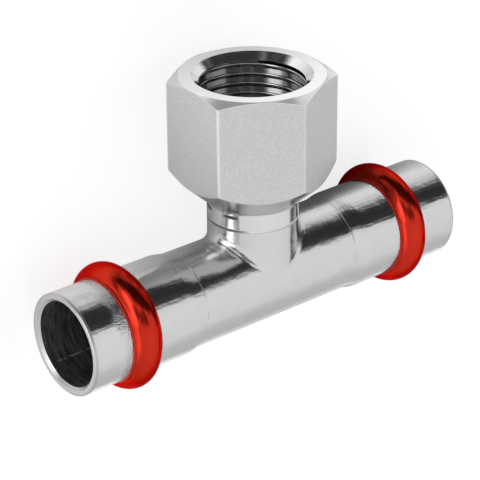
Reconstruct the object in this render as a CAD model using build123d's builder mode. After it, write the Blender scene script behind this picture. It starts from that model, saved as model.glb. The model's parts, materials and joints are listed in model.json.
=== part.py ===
from build123d import *

import os
from math import acos, atan2, cos, degrees, hypot, radians, sin, sqrt, tan

# Press fit tee: two ends that are pressed on to a steel pipe, and a screwed branch with a hexagon.
#
# The run is one drawn steel tube. Near each mouth a bead is rolled out of its wall, with a rubber
# ring inside it and a thin red sleeve over it that tells a pressed joint from one still to be
# pressed. A short neck is pulled out of the middle of the tube, and a turned socket with a female
# pipe thread is butt welded to the neck.
#
# The tee can't stand on its round tube with the branch up, so it lies as it comes to rest: on the
# two beads and one corner of the hexagon. The branch then points along +Y and a little upwards.
# Millimetres, +X along the run, +Z up, origin on the floor in the middle of the footprint.

# Run
pipe_diameter = 15.0
pipe_clearance = 0.25
wall = 1.5
insertion_depth = 23.2
stop_from_middle = 18.55
stop_height = 0.5
stop_length = 3.6
mouth_bevel = 0.5
mouth_edge_radius = 0.25

# Beads, with the seal rings and press indicators that belong to them
bead_from_mouth = 10.75
bead_height = 1.93
bead_crown_radius = 2.4
bead_foot_radius = 0.5
bead_crown_wall = 1.0
seal_section = 2.5
seal_slack = 0.05
chamber_foot_radius = 0.8
indicator_thickness = 0.3
indicator_land = 0.2

# Pulled neck, whose wall stands a little inside the wall of the run
neck_inset = 0.55
neck_height = 11.85
saddle_radius = 1.8
crotch_radius = 1.0
weld_groove = 0.2

# Turned socket: tail, cone under the hexagon, hexagon and mouth
tail_length = 3.3
tail_fillet = 0.6
underside_angle = 42.0
hexagon_length = 17.2
hexagon_across_flats = 26.0
hexagon_edge_radius = 0.3
hexagon_turn = 2.8
rim_inset = 0.2
rim_angle = 25.0
thread_major_diameter = 20.955
thread_length = 15.0
countersink_width = 0.17
countersink_angle = 45.0
drill_point_angle = 59.0

# How far a cut reaches past the face where it starts
overrun = 2.0

# Radii and places of the run
half_length = stop_from_middle + insertion_depth
socket_bore = pipe_diameter / 2 + pipe_clearance
socket_radius = socket_bore + wall
waist_bore = socket_bore - stop_height
waist_radius = waist_bore + wall
bead_from_middle = half_length - bead_from_mouth
bead_radius = socket_radius + bead_height
bead_crown_centre = bead_radius - bead_crown_radius
chamber_crown_radius = seal_section / 2 + seal_slack
chamber_crown_centre = bead_radius - bead_crown_wall - chamber_crown_radius
indicator_radius = bead_radius + indicator_thickness

# Radii and heights of the branch, all heights from the axis of the run
neck_radius = waist_radius - neck_inset
neck_bore = neck_radius - wall
hexagon_apothem = hexagon_across_flats / 2
hexagon_corner = hexagon_apothem / cos(radians(30))
rim_radius = hexagon_apothem - rim_inset
thread_radius = thread_major_diameter / 2
countersink_radius = thread_radius + countersink_width
cone_low = neck_height + tail_length
hexagon_low = cone_low + (hexagon_corner - neck_radius) * tan(radians(underside_angle))
branch_height = hexagon_low + hexagon_length
rim_low = branch_height - (hexagon_corner - rim_radius) * tan(radians(rim_angle))
thread_low = branch_height - thread_length
drill_low = thread_low - (thread_radius - neck_bore) / tan(radians(drill_point_angle))
countersink_low = branch_height - countersink_width / tan(radians(countersink_angle))

# Lowest point of the hexagon: the foot of its rounded corner edge, beside the branch and along it
edge_centre = hexagon_corner - hexagon_edge_radius / cos(radians(30))
corner_aside = edge_centre * sin(radians(hexagon_turn))
corner_out = edge_centre * cos(radians(hexagon_turn)) + hexagon_edge_radius
corner_rounding = hexagon_corner - hypot(corner_aside, corner_out)
corner_along = hexagon_low - corner_rounding * tan(radians(underside_angle))

# Lift of the branch that brings that corner and both beads down to one floor
lift = acos(indicator_radius / hypot(corner_out, corner_along)) - atan2(corner_along, corner_out)
branch_reach = branch_height * cos(lift) + rim_radius * sin(lift)
run_centre = Vector(0, (indicator_radius - branch_reach) / 2, indicator_radius)
branch_direction = Vector(0, cos(lift), sin(lift))

run_axis = Axis(run_centre, (1, 0, 0))
branch_axis = Axis(run_centre, branch_direction)
# Square to the branch through the run's axis. Its own Y points down towards the floor.
branch_base = Plane(origin=run_centre, x_dir=(1, 0, 0), z_dir=branch_direction)
# Holds both axes, with its own Y along the branch.
branch_section = Plane(origin=run_centre, x_dir=(1, 0, 0), z_dir=-branch_base.y_dir)
# The same plane with its own Y away from the branch, so that seams of the run miss the neck.
run_section = Plane(origin=run_centre, x_dir=(1, 0, 0), z_dir=branch_base.y_dir)


def bead_half_width(base, crown_centre, crown, foot):
    """Half the width of a bead whose crown arc and foot arcs are tangent to each other."""
    return sqrt((crown + foot) ** 2 - (base + foot - crown_centre) ** 2)


def draw_bead(middle, base, crown_centre, crown, foot):
    """Foot arc, crown arc and foot arc of a bead that rises from a wall at the radius base."""
    half_width = bead_half_width(base, crown_centre, crown, foot)
    share = crown / (crown + foot)
    join_aside = half_width * share
    join_height = crown_centre + (base + foot - crown_centre) * share
    left_join = (middle - join_aside, join_height)
    right_join = (middle + join_aside, join_height)
    TangentArc((middle - half_width, base), left_join, tangent=(1, 0))
    ThreePointArc(left_join, (middle, crown_centre + crown), right_join)
    TangentArc((middle + half_width, base), right_join, tangent=(-1, 0))


def draw_half_run(start, socket, waist, crown_centre, crown, foot):
    """Left half of the run's wall from beside the mouth to the middle: bead, stop and waist."""
    half_width = bead_half_width(socket, crown_centre, crown, foot)
    stop_start = (-stop_from_middle - stop_length / 2, socket)
    stop_middle = (-stop_from_middle, (socket + waist) / 2)
    stop_end = (-stop_from_middle + stop_length / 2, waist)
    Line(start, (-bead_from_middle - half_width, socket))
    draw_bead(-bead_from_middle, socket, crown_centre, crown, foot)
    Line((-bead_from_middle + half_width, socket), stop_start)
    TangentArc(stop_start, stop_middle, tangent=(1, 0))
    TangentArc(stop_end, stop_middle, tangent=(-1, 0))
    Line(stop_end, (0, waist))


os.makedirs("parts", exist_ok=True)

# Drawn tube: outer form of the run, then the pulled neck with its saddle
with BuildPart() as tee_body:
    with BuildSketch(run_section):
        with BuildLine():
            edge_low = (-half_length, socket_radius - mouth_edge_radius)
            edge_high = (-half_length + mouth_edge_radius, socket_radius)
            Line((-half_length, 0), edge_low)
            TangentArc(edge_low, edge_high, tangent=(0, 1))
            draw_half_run(
                edge_high,
                socket_radius,
                waist_radius,
                bead_crown_centre,
                bead_crown_radius,
                bead_foot_radius,
            )
            mirror(about=Plane.YZ)
            Line((-half_length, 0), (half_length, 0))
        make_face()
    revolve(axis=run_axis)

    with BuildSketch(branch_base):
        Circle(neck_radius)
    extrude(amount=neck_height)
    saddle = tee_body.edges(Select.LAST).filter_by(GeomType.BSPLINE)
    fillet(saddle, radius=saddle_radius)

    # Bore of the run, with a bevel at each mouth, a chamber in each bead and the two stops
    with BuildSketch(run_section):
        with BuildLine():
            bevel_start = (-half_length - overrun, socket_bore + mouth_bevel + overrun)
            bevel_end = (-half_length + mouth_bevel, socket_bore)
            Line((-half_length - overrun, 0), bevel_start)
            Line(bevel_start, bevel_end)
            draw_half_run(
                bevel_end,
                socket_bore,
                waist_bore,
                chamber_crown_centre,
                chamber_crown_radius,
                chamber_foot_radius,
            )
            mirror(about=Plane.YZ)
            Line((-half_length - overrun, 0), (half_length + overrun, 0))
        make_face()
    revolve(axis=run_axis, mode=Mode.SUBTRACT)

    # Bore of the neck, rounded where it leaves the run, and the groove of the weld
    with BuildSketch(branch_base):
        Circle(neck_bore)
    extrude(amount=neck_height + overrun, mode=Mode.SUBTRACT)
    crotch = tee_body.edges(Select.LAST).filter_by(GeomType.BSPLINE)
    fillet(crotch, radius=crotch_radius)
    neck_end = tee_body.edges().filter_by(GeomType.CIRCLE).group_by(branch_axis)[-1]
    chamfer(neck_end.sort_by(SortBy.RADIUS)[-1], length=weld_groove)
tee_body.part.label = "tee_body"
export_step(tee_body.part, "parts/tee_body.step")

# Turned socket: hexagon bar, turned to a tail, a cone and a chamfered rim, then bored
with BuildPart() as threaded_socket:
    with BuildSketch(branch_base.offset(neck_height)) as bar:
        RegularPolygon(hexagon_apothem, 6, major_radius=False, rotation=30 - hexagon_turn)
        fillet(bar.vertices(), radius=hexagon_edge_radius)
    extrude(amount=branch_height - neck_height)

    with BuildSketch(branch_section) as turned:
        with BuildLine():
            Polyline(
                (0, neck_height),
                (neck_radius - weld_groove, neck_height),
                (neck_radius, neck_height + weld_groove),
                (neck_radius, cone_low),
                (hexagon_corner, hexagon_low),
                (hexagon_corner, rim_low),
                (rim_radius, branch_height),
                (0, branch_height),
                close=True,
            )
        make_face()
        tail_end = turned.vertices().sort_by_distance((neck_radius, cone_low))[0]
        fillet(tail_end, radius=tail_fillet)
    revolve(axis=branch_axis, mode=Mode.INTERSECT)

    with BuildSketch(branch_section):
        with BuildLine():
            Polyline(
                (0, neck_height - overrun),
                (neck_bore, neck_height - overrun),
                (neck_bore, drill_low),
                (thread_radius, thread_low),
                (thread_radius, countersink_low),
                (countersink_radius, branch_height),
                (countersink_radius, branch_height + overrun),
                (0, branch_height + overrun),
                close=True,
            )
        make_face()
    revolve(axis=branch_axis, mode=Mode.SUBTRACT)
threaded_socket.part.label = "threaded_socket"
export_step(threaded_socket.part, "parts/threaded_socket.step")

# A rubber ring inside each bead and a red sleeve that hugs it from outside
for side, bead_middle in (("left", -bead_from_middle), ("right", bead_from_middle)):
    with BuildPart() as seal_ring:
        with BuildSketch(run_section):
            with Locations((bead_middle, chamber_crown_centre)):
                Circle(seal_section / 2)
        revolve(axis=run_axis)
    seal_ring.part.label = f"{side}_seal_ring"
    export_step(seal_ring.part, f"parts/{side}_seal_ring.step")

    with BuildPart() as press_indicator:
        with BuildSketch(run_section):
            with BuildLine():
                bead = (bead_crown_centre, bead_crown_radius, bead_foot_radius)
                skin = (
                    bead_crown_centre,
                    bead_crown_radius + indicator_thickness,
                    bead_foot_radius - indicator_thickness,
                )
                skin_radius = socket_radius + indicator_thickness
                foot_aside = bead_half_width(socket_radius, *bead)
                draw_bead(bead_middle, socket_radius, *bead)
                draw_bead(bead_middle, skin_radius, *skin)
                for outward in (-1, 1):
                    foot_end = bead_middle + outward * foot_aside
                    land_end = foot_end + outward * indicator_land
                    Polyline(
                        (foot_end, socket_radius),
                        (land_end, socket_radius),
                        (land_end, skin_radius),
                        (foot_end, skin_radius),
                    )
            make_face()
        revolve(axis=run_axis)
    press_indicator.part.label = f"{side}_press_indicator"
    export_step(press_indicator.part, f"parts/{side}_press_indicator.step")

print("branch lifts by", round(degrees(lift), 3), "degrees, height of its mouth", round(branch_height, 3))
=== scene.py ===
# %% [markdown]
# # Dressing a press fit tee
# The object is a small pipe tee of steel. Its run is one drawn tube with a press end on each side, and
# a neck grows out of its middle. A turned hexagon with a female pipe thread is welded on the neck, and
# a red sleeve hugs each bead. The solids come from the CAD model, already in their places, so this
# lesson adds what a solid model lacks: the studio, the camera, the finishes, and the fine thread.

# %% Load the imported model
import json
from math import cos, pi, radians, sin, sqrt, tan

import bpy
from mathutils import Euler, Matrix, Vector


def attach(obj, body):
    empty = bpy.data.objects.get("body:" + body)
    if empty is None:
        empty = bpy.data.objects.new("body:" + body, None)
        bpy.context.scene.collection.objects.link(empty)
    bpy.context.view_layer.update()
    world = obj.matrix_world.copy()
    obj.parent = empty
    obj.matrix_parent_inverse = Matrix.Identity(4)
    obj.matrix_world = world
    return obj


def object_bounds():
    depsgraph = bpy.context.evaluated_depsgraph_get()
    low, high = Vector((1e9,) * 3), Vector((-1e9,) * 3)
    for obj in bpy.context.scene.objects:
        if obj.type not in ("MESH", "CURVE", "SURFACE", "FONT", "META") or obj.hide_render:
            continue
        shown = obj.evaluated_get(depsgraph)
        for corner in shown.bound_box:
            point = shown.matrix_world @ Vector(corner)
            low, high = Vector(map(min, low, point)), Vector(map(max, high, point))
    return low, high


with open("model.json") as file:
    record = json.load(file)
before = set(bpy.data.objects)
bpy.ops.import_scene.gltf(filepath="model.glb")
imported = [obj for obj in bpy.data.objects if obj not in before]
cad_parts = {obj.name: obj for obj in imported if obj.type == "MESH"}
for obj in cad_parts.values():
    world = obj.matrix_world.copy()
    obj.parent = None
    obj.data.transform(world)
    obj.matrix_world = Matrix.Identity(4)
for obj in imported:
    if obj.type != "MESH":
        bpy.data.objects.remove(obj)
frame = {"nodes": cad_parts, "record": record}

nodes = frame["nodes"]
cad_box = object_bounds()
print("nodes:", sorted(nodes))
print("CAD box in mm:", [[round(v * 1000, 2) for v in corner] for corner in cad_box])

# %% [markdown]
# ## Where the tee lies
# The tee lies on its two sleeves and on one corner of the hexagon, so its branch points a little above
# the floor. All fine work follows two lines: the run's axis and the branch's axis. Both could be typed
# in as numbers, but the record already states them with its mounts, so they are read from there and
# can't drift away from the model. The other sizes are the real part's, in millimetres.

# %% Two axes and the main sizes
MM = 0.001
mounts = {mount["name"]: mount for mount in frame["record"]["mounts"]}
run_middle = (Vector(mounts["left_socket"]["pos_m"]) + Vector(mounts["right_socket"]["pos_m"])) / 2
branch_way = Vector(mounts["branch_thread"]["axis"]).normalized()
upright_to_lying = Euler((-Vector((0, 0, 1)).angle(branch_way), 0, 0))
run_end = cad_box[1][0] / MM
run_radius = 8.75
weld_height = 11.85
mouth_height = 38.4827
thread_major = mounts["branch_thread"]["dims"]["r_mm"]
print("branch rises", round(90 - abs(upright_to_lying.x) * 180 / pi, 2), "degrees above the floor")
print("run ends at", round(run_end, 2), "mm, thread radius", thread_major, "mm")

# %% [markdown]
# ## The camera
# The photo was taken with a long lens from above the near end of the run. The tee stood upright there
# and lies here, so the camera looks down at it and is rolled until the branch points up in the
# picture. A target and a tracking constraint would also aim it, but place and turn alone are plainer
# and keep the frame exact.

# %% Camera
bpy.ops.object.select_all(action="DESELECT")
camera_turn = [radians(degrees) for degrees in (-14.9114, -39.0922, -7.8177)]
bpy.ops.object.camera_add(location=(-0.215414, 0.119127, 0.292740), rotation=camera_turn)
camera = bpy.context.object
camera.data.lens = 157.14
camera.data.sensor_width = 36
camera.data.clip_start = 0.01
bpy.context.scene.camera = camera
bpy.context.scene.view_settings.view_transform = "Standard"
print("camera", [round(v, 3) for v in camera.location], "lens", camera.data.lens)

# %% [markdown]
# ## Small helpers for shader trees
# A finish is a tree of nodes. Linking dozens of them by hand takes many lines, so a few helpers do the
# wiring. `place` adds one node and feeds its sockets with numbers or with other nodes' outputs. `maths`
# and `product` calculate, `ramp` turns a distance into a mask with a soft edge, and `cover` lays one
# colour over another where a mask is 1.

# %% Shader tree helpers
def feed(tree, inputs, feeds):
    for socket, value in feeds.items():
        if isinstance(value, bpy.types.NodeSocket):
            tree.links.new(value, inputs[socket])
        else:
            inputs[socket].default_value = value


def place(tree, kind, feeds=None, **settings):
    made = tree.nodes.new(kind)
    for name, value in settings.items():
        setattr(made, name, value)
    feed(tree, made.inputs, feeds or {})
    return made


def maths(tree, operation, *values):
    return place(tree, "ShaderNodeMath", dict(enumerate(values)), operation=operation).outputs[0]


def product(tree, first, second):
    return maths(tree, "MULTIPLY", first, second)


def ramp(tree, value, low, high, out_low=0.0, out_high=1.0):
    feeds = {"Value": value, "From Min": low, "From Max": high, "To Min": out_low, "To Max": out_high}
    return place(tree, "ShaderNodeMapRange", feeds, interpolation_type="SMOOTHSTEP").outputs[0]


def cover(tree, mask, under, over):
    return place(tree, "ShaderNodeMix", {0: mask, 6: under, 7: over}, data_type="RGBA").outputs[2]


def grey(level):
    return (level, level, level, 1)


print("helpers ready")

# %% [markdown]
# ## The studio around the tee
# Bright steel has almost no colour of its own: it shows the room. The photo's room is white card on all
# sides. Black flags on the right, in front of the tee, draw the dark band along the tube, and small
# ones behind and above it draw thin dark streaks. A long lamp left of the camera draws the white line
# down the neck and the bright stripe across the thread. Real cards could stand around the tee, but some
# of them would come into other views. The world shader holds them instead: each is a soft spot round
# one direction, and the camera itself sees plain white.

# %% Directions of the flags, lamps and cards
# Each spot is an azimuth, an elevation, a reach and a soft edge, all in degrees. The cards and shades
# also say how much light they add or take. High flags and lamp ends are weaker than the other ones.
front_flags = ((31, 17, 8, 4), (40, 34, 16.5, 4), (68, 31, 25, 4), (92, 24, 26, 8), (104, -2, 13, 6),
               (116, 4, 9, 4), (118, -7, 7, 4), (120, -17, 9, 4), (143, -25, 13, 5))
back_flags = ((19, 20, 11, 7), (4, 12, 7, 7), (-8, 1, 5, 5), (-24, -20, 5, 5), (-26, 10, 6.5, 3))
high_flags = ((95, 70, 13, 6), (75, 74, 9, 4), (146, 60, 11, 5), (150, 38, 11, 5))
high_flag_share = 0.85
lamps = ((174, 12, 10, 3), (161, 12, 11, 3), (148, 9, 12, 4))
lamp_ends = ((-163, 0, 13, 7), (-155, -12, 8, 5))
lamp_end_share = 0.4
cards = ((48, -13, 10, 7, 0.24), (-20, -10, 15, 8, 0.4))
shades = ((82, -20, 18, 10, 0.45), (-65, -5, 25, 14, 0.18), (62, 1, 4, 3, 0.45))


def towards(azimuth, elevation):
    a, e = radians(azimuth), radians(elevation)
    return (cos(e) * cos(a), cos(e) * sin(a), sin(e))


def soft_spot(tree, way, azimuth, elevation, reach, edge):
    toward_spot = towards(azimuth, elevation)
    near = place(tree, "ShaderNodeVectorMath", {0: way, 1: toward_spot}, operation="DOT_PRODUCT")
    far_edge, near_edge = cos(radians(reach + edge)), cos(radians(max(reach - edge, 0)))
    return ramp(tree, near.outputs["Value"], far_edge, near_edge)


def widest_of(tree, way, spots, strength=1.0, others=0.0):
    for spot in spots:
        mask = product(tree, soft_spot(tree, way, *spot), strength)
        others = maths(tree, "MAXIMUM", mask, others)
    return others


def sum_of(tree, way, spots):
    total = 0.0
    for *spot, amount in spots:
        total = maths(tree, "MULTIPLY_ADD", soft_spot(tree, way, *spot), amount, total)
    return total


print(len(front_flags + back_flags + high_flags), "flags,", len(lamps + lamp_ends), "lamps")

# %% [markdown]
# The room itself is an even grey that grows paler upwards. Cards add light to it, shades and flags take
# light away, and the lamps come last, so nothing dims them. A photograph of a real studio could be
# wrapped round the tee instead, but soft spots need no file and are easy to move.

# %% World that the steel mirrors
room_low, room_high = 0.62, 1.0
flag_depth = 0.965
lamp_light = 2.3
world = bpy.data.worlds.new("studio")
bpy.context.scene.world = world
world.use_nodes = True
tree = world.node_tree
tree.nodes.clear()
way = place(tree, "ShaderNodeTexCoord").outputs["Generated"]
height = place(tree, "ShaderNodeSeparateXYZ", {0: way}).outputs[2]
near_flags = widest_of(tree, way, front_flags + back_flags)
flag = widest_of(tree, way, high_flags, high_flag_share, near_flags)
lamp = widest_of(tree, way, lamp_ends, lamp_end_share, widest_of(tree, way, lamps))
feeds = {"Value": height, "From Min": -1.0, "To Min": room_low, "To Max": room_high}
level = place(tree, "ShaderNodeMapRange", feeds).outputs[0]
level = maths(tree, "ADD", sum_of(tree, way, cards), level)
level = product(tree, level, maths(tree, "SUBTRACT", 1.0, sum_of(tree, way, shades)))
level = product(tree, level, maths(tree, "MULTIPLY_ADD", flag, -flag_depth, 1.0))
level = maths(tree, "MULTIPLY_ADD", lamp, lamp_light, level)
by_eye = place(tree, "ShaderNodeLightPath").outputs["Is Camera Ray"]
level = place(tree, "ShaderNodeMix", {0: by_eye, 2: level, 3: 1.0}, data_type="FLOAT").outputs[0]
room = place(tree, "ShaderNodeBackground", {"Color": grey(1.0), "Strength": level})
place(tree, "ShaderNodeOutputWorld", {"Surface": room.outputs[0]})
print("world has", len(tree.nodes), "nodes")

# %% [markdown]
# ## The floor
# A plain white table. Its own colour can't reach white in soft light, so a glow that only the camera
# sees lifts it to the white of the backdrop, and the tee's soft shadow stays in it. In the steel the
# table shows where a mirror ray looks steeply down at it, with a painted shadow that darkens it close
# to the tee and also dims the light it throws back. Nearer the horizon the table gives way to the
# world's cards, as if it ended there.

# %% Floor
bpy.ops.object.select_all(action="DESELECT")
bpy.ops.mesh.primitive_circle_add(vertices=96, radius=2.0, fill_type="NGON", location=(0, 0, 0))
floor = bpy.context.object
floor.name = "white_table"
white_card = bpy.data.materials.new("white_card")
white_card.use_nodes = True
floor.data.materials.append(white_card)
print("floor radius", floor.dimensions.x / 2)

# %% [markdown]
# The finish is a dull paint with that glow added. Mirror rays that skim the table pass clean through it
# to the world. Lamps could whiten the table as well, but they would show up in the steel.

# %% Table finish
camera_glow, mirror_glow = 0.78, 0.40
camera_paint, light_paint = 0.35, 0.9
tree = white_card.node_tree
tree.nodes.clear()
light = place(tree, "ShaderNodeLightPath").outputs
by_eye, by_mirror = light["Is Camera Ray"], light["Is Glossy Ray"]
under_tee = {0: place(tree, "ShaderNodeTexCoord").outputs["Object"], 1: (0.020, -0.004, 0)}
aside = place(tree, "ShaderNodeVectorMath", under_tee, operation="DISTANCE").outputs["Value"]
# Painted shadow: round the tee the table is darker to every ray but the camera's.
open_table = ramp(tree, aside, 0.008, 0.056, 0.15, 1.0)
paint = {0: by_eye, 2: product(tree, open_table, light_paint), 3: camera_paint}
paint = place(tree, "ShaderNodeMix", paint, data_type="FLOAT").outputs[0]
dull = place(tree, "ShaderNodeBsdfDiffuse", {"Color": paint})
mirrored = product(tree, product(tree, by_mirror, open_table), mirror_glow)
glow_level = maths(tree, "MULTIPLY_ADD", by_eye, camera_glow, mirrored)
glow = place(tree, "ShaderNodeEmission", {"Strength": glow_level})
table = place(tree, "ShaderNodeAddShader", {0: dull.outputs[0], 1: glow.outputs[0]})
flat_look = place(tree, "ShaderNodeLayerWeight", {"Blend": 0.5}).outputs["Facing"]
beyond = product(tree, by_mirror, ramp(tree, flat_look, 0.45, 0.72))
clear = place(tree, "ShaderNodeBsdfTransparent")
either = place(tree, "ShaderNodeMixShader", {0: beyond, 1: table.outputs[0], 2: clear.outputs[0]})
place(tree, "ShaderNodeOutputMaterial", {"Surface": either.outputs[0]})
print("table finish has", len(tree.nodes), "nodes")

# %% [markdown]
# ## Groups for what the finishes share
# A node group is a small tree with sockets of its own, and a finish uses it as if it were one node. The
# nodes could be copied into every finish, but then each change would have to be made several times.

# %% Group helpers
def new_group(name, takes, gives):
    group = bpy.data.node_groups.new(name, "ShaderNodeTree")
    for direction, sockets in (("INPUT", takes), ("OUTPUT", gives)):
        for socket, kind in sockets.items():
            group.interface.new_socket(socket, in_out=direction, socket_type="NodeSocket" + kind)
    given = place(group, "NodeGroupInput").outputs
    return group, given, place(group, "NodeGroupOutput").inputs


def use_group(tree, group, feeds):
    return place(tree, "ShaderNodeGroup", feeds, node_tree=group).outputs


print("group helpers ready")

# %% [markdown]
# ## Where on the tee is this point?
# The finishes change with the place on the part: bright outside, dull inside, a line at the pipe stop,
# satin flats on the hexagon. All of that follows from how far a point is along the run, along the
# branch, and from each axis. The group turns the object coordinates upright again, in millimetres, and
# puts those distances out. It is built once, and every finish uses it.

# %% Group: places on the tee
distances = ("Along Run", "From Run", "Round Run", "Along Branch", "From Branch")
gives = {"Upright": "Vector"} | {name: "Float" for name in distances}
tee_places, given, wanted = new_group("places_on_the_tee", {"Point": "Vector"}, gives)
home = run_middle.copy()
back_up = Euler((-upright_to_lying.x, 0, 0))
home.rotate(back_up)
turn_up = {"Vector": given["Point"], "Scale": (1000, 1000, 1000), "Rotation": back_up,
           "Location": -home * 1000}
upright = place(tee_places, "ShaderNodeMapping", turn_up).outputs[0]
x, y, z = place(tee_places, "ShaderNodeSeparateXYZ", {0: upright}).outputs
off_run = place(tee_places, "ShaderNodeCombineXYZ", {1: y, 2: z}).outputs[0]
off_branch = place(tee_places, "ShaderNodeCombineXYZ", {0: x, 1: y}).outputs[0]
from_run = place(tee_places, "ShaderNodeVectorMath", {0: off_run}, operation="LENGTH")
from_branch = place(tee_places, "ShaderNodeVectorMath", {0: off_branch}, operation="LENGTH")
round_run = maths(tee_places, "ARCTAN2", product(tee_places, y, -1.0), z)
feed(tee_places, wanted, {"Upright": upright, "Along Run": x, "From Run": from_run.outputs["Value"],
                          "Round Run": round_run, "Along Branch": z,
                          "From Branch": from_branch.outputs["Value"]})
print("group", tee_places.name, "has", len(tee_places.nodes), "nodes")

# %% [markdown]
# ## Grain that every finish shares
# No surface here is perfectly even. Close up, each one has fine grain, and its colour and gloss wander
# a little. One group makes both from noise: `Height` is a relief in millimetres for a Bump node, and
# `Tone` is a mask around 0.5 that colour and roughness are varied with.

# %% Group: fine grain
takes = {"Point": "Vector", "Size": "Float", "Depth": "Float"}
fine_grain, given, wanted = new_group("fine_grain", takes, {"Height": "Float", "Tone": "Float"})
scale = maths(fine_grain, "DIVIDE", 1.0, given["Size"])
coarse = {"Vector": given["Point"], "Scale": product(fine_grain, scale, 0.13), "Detail": 2.0}
cloud = place(fine_grain, "ShaderNodeTexNoise", coarse).outputs[0]
fine = {"Vector": given["Point"], "Scale": scale, "Detail": 3.0, "Roughness": 0.6}
grain = place(fine_grain, "ShaderNodeTexNoise", fine).outputs[0]
tone = maths(fine_grain, "MULTIPLY_ADD", cloud, 0.6, product(fine_grain, grain, 0.4))
feed(fine_grain, wanted, {"Height": product(fine_grain, grain, given["Depth"]), "Tone": tone})
print("group", fine_grain.name, "ready")

# %% [markdown]
# ## The weld that both steels share
# The hexagon's tail is welded to the neck with a fine bead. On its left the groove gets painted shade,
# with a second, shorter line of painted shade higher up on the tail where the highlight breaks, and
# farther round the seam gets painted light that hides the groove's own shade. Neck and tail are two
# pieces, and the painted marks run over both, so one group makes its masks for both finishes. A third
# mask makes the seam and the second line dull.

# %% Group: painted shade and light at the weld
tail_mark_height, tail_mark_middle = 14.35, -7.5
gives = {"Dark": "Float", "Filled": "Float", "Dull": "Float"}
weld_mark, given, wanted = new_group("weld_mark", {"Upright": "Vector"}, gives)
x, y, z = place(weld_mark, "ShaderNodeSeparateXYZ", {0: given["Upright"]}).outputs
rise = maths(weld_mark, "ABSOLUTE", maths(weld_mark, "SUBTRACT", z, weld_height))
# Painted shade: the weld's groove is darker on its left.
seam_mark = product(weld_mark, ramp(weld_mark, rise, 0.08, 0.3, 1, 0),
                    ramp(weld_mark, x, -7.4, -5.6, 0.9, 0))
above_mark = maths(weld_mark, "ABSOLUTE", maths(weld_mark, "SUBTRACT", z, tail_mark_height))
aside_mark = maths(weld_mark, "ABSOLUTE", maths(weld_mark, "SUBTRACT", x, tail_mark_middle))
# Painted shade: a short dark line high on the tail, where the highlight breaks.
tail_mark = product(weld_mark, ramp(weld_mark, above_mark, 0.2, 0.45, 1, 0),
                    ramp(weld_mark, aside_mark, 0.4, 0.65, 1, 0))
# Painted light covers the rest of the seam, so its groove shows no shade there.
feed(weld_mark, wanted, {
    "Dark": maths(weld_mark, "MAXIMUM", seam_mark, tail_mark),
    "Filled": product(weld_mark, ramp(weld_mark, rise, 0.1, 0.25, 1, 0),
                      ramp(weld_mark, x, -6.4, -5.0)),
    "Dull": maths(weld_mark, "MAXIMUM", ramp(weld_mark, rise, 0.2, 0.35, 1, 0), tail_mark)})
print("group", weld_mark.name, "ready")

# %% [markdown]
# ## Starting and ending a finish
# Each finish starts the same way: a material with a Principled shader, and the places on the tee from
# the object's own coordinates. The last step is the same too: the finished material takes the slots of
# its pieces. `noise` makes an uneven pattern, stretched along the way the metal was worked. Height is in
# millimetres here, so the Bump node's distance is one of them.

# %% Start and end of a finish
def start_finish(name):
    material = bpy.data.materials.new(name)
    material.use_nodes = True
    tree = material.node_tree
    tree.nodes.clear()
    shader = place(tree, "ShaderNodeBsdfPrincipled")
    place(tree, "ShaderNodeOutputMaterial", {"Surface": shader.outputs[0]})
    point = place(tree, "ShaderNodeTexCoord").outputs["Object"]
    return material, tree, shader, use_group(tree, tee_places, {"Point": point})


def noise(tree, spot, scale, detail, stretch):
    vector = place(tree, "ShaderNodeMapping", {"Vector": spot["Upright"], "Scale": stretch}).outputs[0]
    feeds = {"Vector": vector, "Scale": scale, "Detail": detail}
    return place(tree, "ShaderNodeTexNoise", feeds).outputs[0]


def relief(tree, height):
    return place(tree, "ShaderNodeBump", {"Height": height, "Distance": MM}).outputs[0]


def finish_nodes(material, *names):
    for name in names:
        for slot in nodes[name].material_slots:
            slot.material = material
    print(material.name, "on", *names)


# %% [markdown]
# ## Drawn steel
# The tube was drawn over a die and then pickled bright. It mirrors the room, but not like plate glass:
# shallow waves from the die, finer ripples and small pits beside the beads bend the mirror image, which
# makes the edges of the dark band ragged. The waves could be modelled, but they are far shallower than
# a tube's facets, so a bump map fits them better. The pits are deeper beside the left bead. The step in
# the wall at each pipe stop looks softer in the photo than its slope, so the bump takes some of it back
# and leaves a fine line.

# %% Drawn steel: places
drawn_steel, tree, shader, spot = start_finish("drawn_steel")
grain = use_group(tree, fine_grain, {"Point": spot["Upright"], "Size": 0.3, "Depth": 0.009})
weld = use_group(tree, weld_mark, {"Upright": spot["Upright"]})
from_middle = maths(tree, "ABSOLUTE", spot["Along Run"])
mouth_face = ramp(tree, from_middle, run_end - 0.55, run_end - 0.35)
on_neck = product(tree, ramp(tree, spot["Along Branch"], 8.9, 9.4),
                  ramp(tree, spot["From Branch"], 7.9, 8.0))
beside_bead = product(tree, ramp(tree, from_middle, 33.6, 34.2),
                      ramp(tree, from_middle, 35.5, 37.5, 1, 0))
pitted = product(tree, beside_bead, ramp(tree, spot["Along Run"], -5.0, 5.0, 1, 0.25))
inside_run = product(tree, ramp(tree, spot["From Run"], 8.3, 8.45, 1, 0),
                     ramp(tree, from_middle, run_end - 0.65, run_end - 0.45, 1, 0))
inside_neck = product(tree, ramp(tree, spot["From Branch"], 7.4, 7.5, 1, 0),
                      ramp(tree, spot["Along Branch"], 7.0, 7.1))
inside = maths(tree, "MAXIMUM", inside_run, inside_neck)
print("drawn steel knows its places")

# %% [markdown]
# ### Relief of the drawn steel
# All patterns are heights in millimetres, so they are added up and go through one Bump node. Each could
# have a Bump node of its own, but in one sum it is plain how deep they are beside each other.

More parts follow.
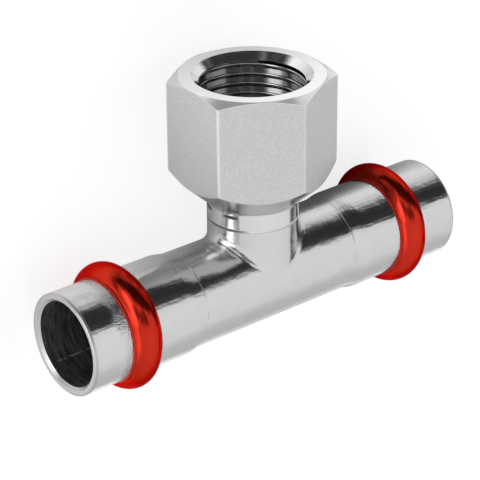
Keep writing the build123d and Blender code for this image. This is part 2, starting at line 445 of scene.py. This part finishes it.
# %% Drawn steel: relief
stop_edge = 17.3
waves = noise(tree, spot, 0.35, 1.0, stretch=(0.5, 1, 1))
ripples = noise(tree, spot, 1.5, 2.0, stretch=(0.5, 1, 1))
cells = place(tree, "ShaderNodeTexVoronoi", {"Vector": spot["Upright"], "Scale": 4.0})
pits = cells.outputs["Distance"]
height = maths(tree, "MULTIPLY_ADD", waves, 0.07, product(tree, ripples, 0.025))
height = maths(tree, "ADD", height, grain["Height"])
height = maths(tree, "MULTIPLY_ADD", product(tree, pits, pitted), 0.06, height)
from_stop = maths(tree, "ABSOLUTE", maths(tree, "SUBTRACT", from_middle, stop_edge))
height = maths(tree, "MULTIPLY_ADD", ramp(tree, from_stop, 0.02, 0.14, 1, 0), -0.03, height)
swell = maths(tree, "MAXIMUM", maths(tree, "SUBTRACT", spot["From Run"], run_radius), 0.0)
swell = product(tree, maths(tree, "MINIMUM", swell, 0.5), ramp(tree, from_middle, 11.0, 13.0))
height = maths(tree, "MULTIPLY_ADD", swell, -0.6, height)
print("drawn steel has its relief")

# %% [markdown]
# ### Colour and gloss of the drawn steel
# Outside it is bright, with painted shade and painted light at the weld, and the sawn mouth faces are
# duller. Inside nobody polished the wall, so it is dark and rough, with smears round it from drawing
# and one bright line: the tube's own seam. One colour could not show all that, so masks lay the colours
# over each other.

# %% Drawn steel: colour and gloss
seam_angle = radians(-140)
colour = cover(tree, grain["Tone"], (0.61, 0.61, 0.615, 1), grey(0.69))
# Painted light and painted shade at the weld's groove.
colour = cover(tree, weld["Filled"], colour, grey(0.95))
colour = cover(tree, weld["Dark"], colour, grey(0.12))
colour = cover(tree, mouth_face, colour, grey(0.54))
smear = noise(tree, spot, 1.0, 3.0, stretch=(1.6, 0.3, 0.3))
dim = cover(tree, ramp(tree, smear, 0.3, 0.7), (0.14, 0.14, 0.145, 1), (0.36, 0.36, 0.365, 1))
from_seam = maths(tree, "ABSOLUTE", maths(tree, "SUBTRACT", spot["Round Run"], seam_angle))
seam = product(tree, ramp(tree, from_seam, 0.014, 0.03, 1, 0), ramp(tree, ripples, 0.5, 0.6))
dim = cover(tree, seam, dim, grey(0.75))
colour = cover(tree, inside, colour, dim)
rough = maths(tree, "MULTIPLY_ADD", grain["Tone"], 0.1, 0.1)
rough = maths(tree, "MULTIPLY_ADD", inside, 0.35, rough)
rough = maths(tree, "MULTIPLY_ADD", mouth_face, 0.24, rough)
rough = maths(tree, "MULTIPLY_ADD", on_neck, 0.04, rough)
rough = maths(tree, "MULTIPLY_ADD", weld["Dull"], 0.45, rough)
feed(tree, shader.inputs, {"Metallic": 1.0, "Base Color": colour, "Roughness": rough,
                           "Normal": relief(tree, height)})
finish_nodes(drawn_steel, "tee_body")

# %% [markdown]
# ## Turned steel
# The hexagon was turned from bar. Its six flats keep the bar's etched satin, with a very fine grain and
# a painted highlight along their edges, strongest towards the left end of the run, while the cone, tail,
# rim and bore came off the lathe and shine. The countersink is slightly torn and the thread is darker.
# The shader tells them apart by place: the flats are everything farther out than the inscribed circle,
# between the cone and the rim chamfer, and both of those are cones, so their height follows from the
# distance to the axis.

# %% Turned steel: places
tail_radius, tail_top, underside_angle = 8.2, 15.15, radians(42)
rim_radius, rim_angle = 12.8, radians(25)
countersink_low = 37.1
turned_steel, tree, shader, spot = start_finish("turned_steel")
grain = use_group(tree, fine_grain, {"Point": spot["Upright"], "Size": 0.3, "Depth": 0.016})
weld = use_group(tree, weld_mark, {"Upright": spot["Upright"]})
up, out = spot["Along Branch"], spot["From Branch"]
off_tail = maths(tree, "SUBTRACT", out, tail_radius)
cone_height = maths(tree, "MULTIPLY_ADD", off_tail, tan(underside_angle), tail_top)
off_rim = maths(tree, "SUBTRACT", out, rim_radius)
rim_height = maths(tree, "MULTIPLY_ADD", off_rim, -tan(rim_angle), mouth_height)
above_cone = ramp(tree, maths(tree, "SUBTRACT", up, cone_height), 0.05, 0.15)
below_rim = ramp(tree, maths(tree, "SUBTRACT", rim_height, up), 0.05, 0.15)
flats = product(tree, ramp(tree, out, 12.9, 12.95), product(tree, above_cone, below_rim))
# Painted highlight: the flats' outer edges, strongest towards the left end of the run.
edges = product(tree, product(tree, flats, ramp(tree, out, 14.8, 14.88)),
                ramp(tree, spot["Along Run"], -9.0, -3.0, 1.0, 0.3))
in_bore = product(tree, ramp(tree, out, 10.5, 10.6, 1, 0), ramp(tree, up, 20.0, 21.0))
above_thread = ramp(tree, up, countersink_low, countersink_low + 0.1)
threaded = product(tree, in_bore, maths(tree, "SUBTRACT", 1.0, above_thread))
countersunk = product(tree, in_bore, above_thread)
top_face = maths(tree, "MAXIMUM", ramp(tree, up, 38.42, 38.45), in_bore)
on_tail = ramp(tree, up, 20.0, 21.0, 1, 0)
# Painted shade: the cone under the hexagon is darker.
on_cone = product(tree, on_tail, ramp(tree, out, 8.3, 8.4))
print("turned steel knows its places")

# %% [markdown]
# ### Relief of the turned steel
# A lathe leaves fine even grooves, here a sine wave that counts on along the surface. They could be cut
# into the mesh, but they are far finer than its facets. The flats and the torn countersink have grain
# in their place.

# %% Turned steel: relief
grooves = maths(tree, "SINE", product(tree, maths(tree, "ADD", out, up), 30.0))
smooth = maths(tree, "MAXIMUM", flats, in_bore)
height = product(tree, grooves, maths(tree, "MULTIPLY_ADD", smooth, -0.0008, 0.0008))
grainy = maths(tree, "MULTIPLY_ADD", countersunk, 0.9, flats)
height = maths(tree, "MULTIPLY_ADD", grain["Height"], grainy, height)
print("turned steel has its relief")

# %% [markdown]
# ### Colour and gloss of the turned steel
# The same masks choose the colours. The rim and the countersink are brightest, the flats are a speckled
# satin grey with a painted highlight on their edges, the cone under the hexagon gets painted shade, and
# the thread is darker. Each face could have a material of its own, but the masks also follow borders
# that are no edges in the mesh, such as the weld's painted shade.

# %% Turned steel: colour and gloss
speckle = noise(tree, spot, 2.6, 1.0, stretch=(1, 1, 1))
satin = cover(tree, ramp(tree, speckle, 0.3, 0.7), grey(0.58), grey(0.65))
colour = cover(tree, top_face, grey(0.7), grey(0.93))
# Painted shade on the cone under the hexagon.
colour = cover(tree, on_cone, colour, grey(0.55))
colour = cover(tree, flats, colour, satin)
# Painted highlight on the hexagon's edges.
colour = cover(tree, edges, colour, grey(0.75))
# Painted light and painted shade at the weld's groove.
colour = cover(tree, weld["Filled"], colour, grey(0.95))
colour = cover(tree, weld["Dark"], colour, grey(0.12))
colour = cover(tree, threaded, colour, grey(0.52))
rough = maths(tree, "MULTIPLY_ADD", grain["Tone"], 0.1, 0.06)
rough = maths(tree, "MULTIPLY_ADD", flats, 0.27, rough)
rough = maths(tree, "MULTIPLY_ADD", on_tail, 0.05, rough)
rough = maths(tree, "MULTIPLY_ADD", weld["Dull"], 0.45, rough)
feed(tree, shader.inputs, {"Metallic": 1.0, "Base Color": colour, "Roughness": rough,
                           "Normal": relief(tree, height)})
finish_nodes(turned_steel, "threaded_socket")

# %% [markdown]
# ## Red film
# The sleeves are a thin red film drawn tight over the beads, with small wrinkles that tear the dark
# reflection into streaks round the ring. A clear coat over red paint would mirror the room in white.
# The film's reflections are red, so a tinted metal fits better, and only its two cut ends are plain
# red. In the photo the steel beside the sleeves shows no red, apart from a fringe where they touch, so
# mirror rays that come from farther off see the film as dark grey.

# %% Red film
bead_centre = 31.0
red_film, tree, shader, spot = start_finish("red_film")
grain = use_group(tree, fine_grain, {"Point": spot["Upright"], "Size": 0.5, "Depth": 0.006})
wrinkles = noise(tree, spot, 1.0, 4.0, stretch=(2.8, 0.35, 0.35))
height = maths(tree, "MULTIPLY_ADD", wrinkles, 0.035, grain["Height"])
colour = cover(tree, grain["Tone"], (0.5, 0.026, 0.013, 1), (0.64, 0.034, 0.018, 1))
light = place(tree, "ShaderNodeLightPath").outputs
from_afar = ramp(tree, light["Ray Length"], 1.0 * MM, 2.0 * MM)
colour = cover(tree, product(tree, light["Is Glossy Ray"], from_afar), colour, (0.12, 0.1, 0.1, 1))
rough = maths(tree, "MULTIPLY_ADD", grain["Tone"], 0.12, 0.11)
from_middle = maths(tree, "ABSOLUTE", spot["Along Run"])
from_bead = maths(tree, "ABSOLUTE", maths(tree, "SUBTRACT", from_middle, bead_centre))
metallic = ramp(tree, from_bead, 2.75, 2.9, 0.95, 0.2)
feed(tree, shader.inputs, {"Metallic": metallic, "Base Color": colour, "Roughness": rough,
                           "Specular Tint": (0.7, 0.1, 0.06, 1), "Normal": relief(tree, height)})
finish_nodes(red_film, "left_press_indicator", "right_press_indicator")

# %% [markdown]
# ## Seal rubber
# The rings in the beads are black rubber with a faint bloom. They show only from the mouths. Plain
# black would look like a gap there, so a little grain in colour, gloss and relief breaks it up.

# %% Seal rubber
seal_rubber, tree, shader, spot = start_finish("seal_rubber")
grain = use_group(tree, fine_grain, {"Point": spot["Upright"], "Size": 0.2, "Depth": 0.01})
colour = cover(tree, grain["Tone"], grey(0.008), grey(0.03))
rough = maths(tree, "MULTIPLY_ADD", grain["Tone"], 0.3, 0.4)
feed(tree, shader.inputs, {"Base Color": colour, "Roughness": rough,
                           "Normal": relief(tree, grain["Height"])})
finish_nodes(seal_rubber, "left_seal_ring", "right_seal_ring")

# %% [markdown]
# ## The pipe thread
# The branch has a right-hand half inch pipe thread with 14 turns to the inch. The CAD bore is plain at
# the thread's outer radius, so the ridges are one piece that stands on that wall. A bump map would
# show no turns against the light, and a thread cut in the CAD would make the solid heavy. Here the
# ridge's section is a flat plane that becomes a 55 degree triangle in edit mode, its tip is rounded as
# the standard says, and a Screw modifier winds it up. All of it is made upright, with the run's middle
# as origin, and laid down at the end.

# %% Sizes of the thread
thread_minor = 9.3155
thread_pitch = 1.814
thread_low = mouth_height - 15.0
bedding = 0.04
flank = radians(27.5)
tip_round = 0.1373 * thread_pitch
tip = thread_minor + tip_round - tip_round / sin(flank)
depth = thread_major + bedding - tip
rounding = (thread_minor - tip) / ((2 - sqrt(2)) * cos(flank))
print("ridge", round(depth, 3), "mm deep and", round(2 * depth * tan(flank), 3), "mm wide at its root")

# %% [markdown]
# ### Section of one ridge
# The plane's two inner corners merge into the tip of the triangle, and a bevel rounds it. The face then
# goes and the outline stays, because a closed outline winds up into a closed skin. A curve could hold
# the section too, but edit mode shows each step.

# %% Section of one ridge
def pick(piece, wanted_place):
    bpy.ops.object.mode_set(mode="OBJECT")
    for vertex in piece.data.vertices:
        vertex.select = wanted_place(vertex.co)
    for edge in piece.data.edges:
        edge.select = all(piece.data.vertices[v].select for v in edge.vertices)
    for face in piece.data.polygons:
        face.select = all(piece.data.vertices[v].select for v in face.vertices)
    bpy.ops.object.mode_set(mode="EDIT")


bpy.ops.object.select_all(action="DESELECT")
bpy.ops.mesh.primitive_plane_add(size=MM)
ridge = bpy.context.object
ridge.name = "pipe_thread"
bpy.ops.object.mode_set(mode="EDIT")
bpy.ops.mesh.select_mode(type="VERT")
bpy.ops.mesh.select_all(action="SELECT")
bpy.ops.transform.resize(value=(depth, 2 * depth * tan(flank), 1))
pick(ridge, lambda co: co.x < 0)
bpy.ops.mesh.merge(type="CENTER")
bpy.ops.mesh.bevel(offset=rounding * MM, segments=8, affect="VERTICES")
bpy.ops.mesh.select_all(action="SELECT")
bpy.ops.transform.translate(value=((tip + depth / 2) * MM, 0, 0))
bpy.ops.object.mode_set(mode="OBJECT")
ridge.rotation_euler = (pi / 2, 0, 0)
bpy.ops.object.transform_apply(location=True, rotation=True, scale=True)
bpy.ops.object.mode_set(mode="EDIT")
bpy.ops.mesh.select_all(action="SELECT")
bpy.ops.mesh.delete(type="ONLY_FACE")
bpy.ops.mesh.select_all(action="SELECT")
bpy.ops.transform.translate(value=(0, 0, (thread_low - thread_pitch) * MM))
bpy.ops.object.mode_set(mode="OBJECT")
crest = min(v.co.x for v in ridge.data.vertices) / MM
print("section has", len(ridge.data.vertices), "points, crest at", round(crest, 4), "mm")

# %% [markdown]
# ### Winding
# The Screw modifier winds more turns than the thread has, and two flat cuts trim both ends square. The
# cuts get a very small threshold, because the usual one is as large as the facets here. The crests and
# flanks of a cut thread are never two clean planes: light runs over them. So the corner normals are
# smoothed a few times, and the lamp then makes one upright bright stripe over all turns.

# %% Wind the ridge up
turns = 10
lead_in = 1.3
smoothing_passes = 6
winding = ridge.modifiers.new("winding", "SCREW")
winding.axis = "Z"
winding.angle = 2 * pi
winding.screw_offset = thread_pitch * MM
winding.iterations = turns
winding.steps = winding.render_steps = 96
winding.use_smooth_shade = True
bpy.ops.object.modifier_apply(modifier=winding.name)
bpy.ops.object.mode_set(mode="EDIT")
bpy.ops.mesh.select_all(action="SELECT")
bpy.ops.mesh.remove_doubles(threshold=1e-6)
for cut_height, outward in ((thread_low, -1), (mouth_height - lead_in, 1)):
    bpy.ops.mesh.select_all(action="SELECT")
    bpy.ops.mesh.bisect(plane_co=(0, 0, cut_height * MM), plane_no=(0, 0, outward), use_fill=True,
                        clear_outer=True, threshold=1e-7)
bpy.ops.mesh.select_all(action="SELECT")
bpy.ops.mesh.normals_make_consistent(inside=False)
bpy.ops.object.mode_set(mode="OBJECT")
bpy.ops.object.shade_smooth_by_angle(angle=radians(35))
bpy.ops.object.mode_set(mode="EDIT")
bpy.ops.mesh.select_all(action="SELECT")
for _ in range(smoothing_passes):
    bpy.ops.mesh.smooth_normals(factor=0.7)
bpy.ops.object.mode_set(mode="OBJECT")
print("ridge has", len(ridge.data.polygons), "faces")

# %% [markdown]
# ### Lead-in ring
# The mouth is countersunk: a 45 degree cone leaves a smooth ring round the opening, and the thread
# runs out into it. The ring is modelled like a small bevelled hoop: a circle, extruded along its
# section and closed on itself. Cutting the cone out of the ridge with a Boolean would also do, but
# it leaves slivers where the first turn runs out, so the ring is its own shape and joins the ridge.

# %% Lead-in ring
hoop = ((10.5375, 0.13), (9.3575, 1.29), (9.3575, 1.4), (10.5175, 2.0))
(first_radius, first_fall), *_ = hoop
bpy.ops.object.select_all(action="DESELECT")
bpy.ops.mesh.primitive_circle_add(vertices=128, radius=first_radius * MM,
                                  location=(0, 0, (mouth_height - first_fall) * MM))
ring = bpy.context.object
ring.name = "lead_in_ring"
bpy.ops.object.transform_apply(location=True, rotation=True, scale=True)
bpy.ops.object.mode_set(mode="EDIT")
bpy.ops.mesh.select_all(action="SELECT")
for (radius, fall), (next_radius, next_fall) in zip(hoop, hoop[1:]):
    drop = (0, 0, (fall - next_fall) * MM)
    bpy.ops.mesh.extrude_region_move(TRANSFORM_OT_translate={"value": drop})
    bpy.ops.transform.resize(value=(next_radius / radius, next_radius / radius, 1))
bpy.ops.mesh.select_all(action="DESELECT")
bpy.ops.mesh.select_non_manifold()
bpy.ops.mesh.bridge_edge_loops()
bpy.ops.mesh.select_all(action="SELECT")
bpy.ops.mesh.normals_make_consistent(inside=False)
bpy.ops.object.mode_set(mode="OBJECT")
bpy.ops.object.shade_smooth_by_angle(angle=radians(35))
print("ring has", len(ring.data.polygons), "faces")

# %% [markdown]
# ### One piece in its place
# On the real part ridge and ring are one cut, so they are joined into one piece. It takes the turned
# steel and is laid down with the tee. It could ride as two pieces, but one is easier to reuse.

# %% Join and lay down
ridge.select_set(True)
bpy.context.view_layer.objects.active = ridge
bpy.ops.object.join()
ridge.rotation_euler = upright_to_lying
ridge.location = run_middle
bpy.ops.object.transform_apply(location=True, rotation=True, scale=True)
ridge.data.materials.clear()
ridge.data.materials.append(turned_steel)
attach(ridge, "root")
print("thread has", len(ridge.data.polygons), "faces")
